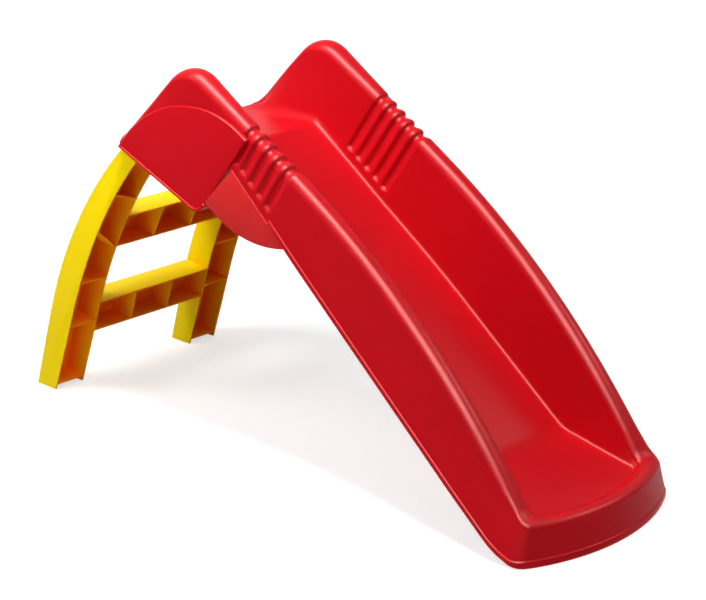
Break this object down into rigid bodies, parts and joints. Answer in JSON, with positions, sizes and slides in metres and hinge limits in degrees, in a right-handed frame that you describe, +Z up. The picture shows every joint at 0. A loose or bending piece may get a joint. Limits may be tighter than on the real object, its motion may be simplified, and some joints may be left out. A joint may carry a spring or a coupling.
{
  "type": "toddler slide",
  "caption": "Toddler slide: a ribbed trough chute with a platform, on a webbed ladder that folds under it on a steel axle.",
  "frame": {"origin": "on the floor, under the middle of the whole object's box", "axes": "+X down the slide, from the ladder to the run-out; +Y across, to the left of a child who sits on the platform; +Z up"},
  "size_m": [1.193, 0.4024, 0.6523],
  "materials": {
    "red_plastic": "moulded gloss",
    "red_guard_plastic": "moulded satin",
    "yellow_plastic": "moulded gloss",
    "axle_steel": "drawn, zinc plated",
    "cap_plastic": "matte",
    "screw_steel": "zinc plated"
  },
  "bodies": {
    "slide": {"slide_body": "red_plastic", "fold_axle": "axle_steel", "axle_cap_left": "cap_plastic", "axle_cap_right": "cap_plastic", "hinge_guard_left": "red_guard_plastic", "hinge_guard_right": "red_guard_plastic", "guard_screw_left_upper": "screw_steel", "guard_screw_left_lower": "screw_steel", "guard_screw_right_upper": "screw_steel", "guard_screw_right_lower": "screw_steel"},
    "ladder": {"ladder": "yellow_plastic"}
  },
  "joints": [
    {"name": "ladder_fold", "type": "hinge", "parent": "slide", "child": "ladder", "pos_m": [-0.1695, 0, 0.468], "axis": [0, -1, 0], "range_deg": [0, 92]}
  ]
}
